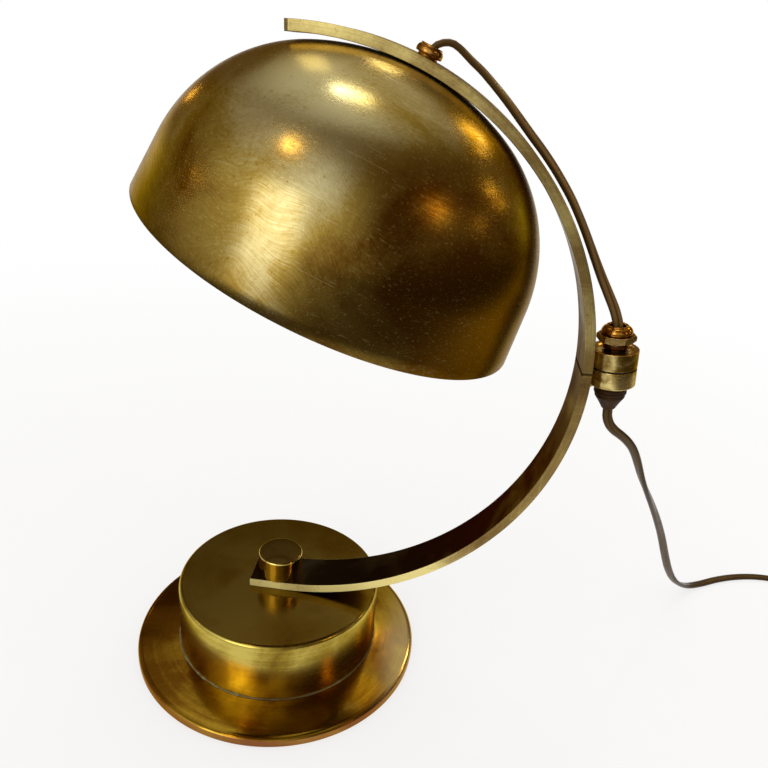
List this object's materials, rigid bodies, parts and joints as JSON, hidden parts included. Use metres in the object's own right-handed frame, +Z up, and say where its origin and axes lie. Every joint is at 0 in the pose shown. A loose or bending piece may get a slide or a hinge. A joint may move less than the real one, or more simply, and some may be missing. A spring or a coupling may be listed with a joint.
{
  "type": "table lamp",
  "caption": "Brass table lamp: domed shade hung from a curved flat arm that swivels at a mid-height hinge above a weighted round base, with a flat mains flex, switch and plug.",
  "frame": {"origin": "centre of the base's underside, on the table", "axes": "+Z up, +X from the base's centre towards the hinge, so the bent arm lies in the plane y = 0 and the shade's mouth faces down and towards -X"},
  "size_m": [0.499, 0.2548, 0.352],
  "materials": {
    "felt": "felt",
    "plate_steel": "satin",
    "base_brass": "aged polish",
    "cast_ballast": "as cast",
    "zinc_steel": "zinc plated",
    "nut_brass": "polished",
    "bar_brass": "brushed",
    "disc_brass": "satin",
    "friction_fibre": "matte",
    "dome_brass": "polished",
    "gland_brown": "satin",
    "shade_brass": "aged, fine turned lines",
    "tube_brass": "threaded",
    "holder_black": "phenolic",
    "ceramic_white": "glazed",
    "contact_brass": "bright",
    "cap_metal": "satin",
    "button_metal": "dull",
    "opal_glass": "opal",
    "clear_glass": "clear",
    "tungsten": "drawn",
    "flex_gold": "satin pvc",
    "core_brown": "satin",
    "tie_black": "matte",
    "switch_brown": "satin",
    "rocker_black": "satin",
    "plug_black": "matte",
    "pin_nickel": "nickel plated"
  },
  "bodies": {
    "base": {"felt_pad": "felt", "base_plate": "plate_steel", "base_flange": "base_brass", "base_drum": "base_brass", "base_weight": "cast_ballast", "clamp_stud": "zinc_steel", "clamp_washer": "zinc_steel", "clamp_nut": "zinc_steel", "cap_nut": "nut_brass", "lower_arm": "bar_brass", "lower_disc": "disc_brass", "friction_washer": "friction_fibre", "pivot_tube": "tube_brass", "pivot_collar": "dome_brass", "lock_nut": "nut_brass", "flex_dome": "dome_brass", "gland_ring": "gland_brown", "gland_relief": "gland_brown", "cord_run": "flex_gold", "cord_link": "flex_gold", "cord_coil": "flex_gold", "cord_tail": "flex_gold", "cord_tie": "tie_black", "switch_base": "switch_brown", "switch_cover": "switch_brown", "switch_screws": "zinc_steel", "plug_body": "plug_black", "plug_relief": "plug_black", "plug_pins": "pin_nickel"},
    "head": {"upper_disc": "disc_brass", "upper_arm": "bar_brass", "shade": "shade_brass", "shade_nipple": "tube_brass", "flex_outlet": "dome_brass", "seat_washer": "tube_brass", "seat_nut": "nut_brass", "holder_cap": "holder_black", "holder_sleeve": "holder_black", "contact_block": "ceramic_white", "screw_shell": "contact_brass", "centre_contact": "contact_brass", "bulb_cap": "cap_metal", "bulb_contact": "button_metal", "bulb_glass": "opal_glass", "bulb_stem": "clear_glass", "bulb_filament": "tungsten", "arm_lead": "flex_gold", "holder_wires": "core_brown"},
    "rocker": {"switch_rocker": "rocker_black"}
  },
  "joints": [
    {"name": "head_swivel", "type": "hinge", "parent": "base", "child": "head", "pos_m": [0.16821, 0, 0.2076], "axis": [-0.0958, 0, 0.9954], "range_deg": [-170, 170]},
    {"name": "rocker_tilt", "type": "hinge", "parent": "base", "child": "rocker", "pos_m": [0.397, 0.047, 0.0124], "axis": [1, 0, 0], "range_deg": [0, 14]}
  ]
}
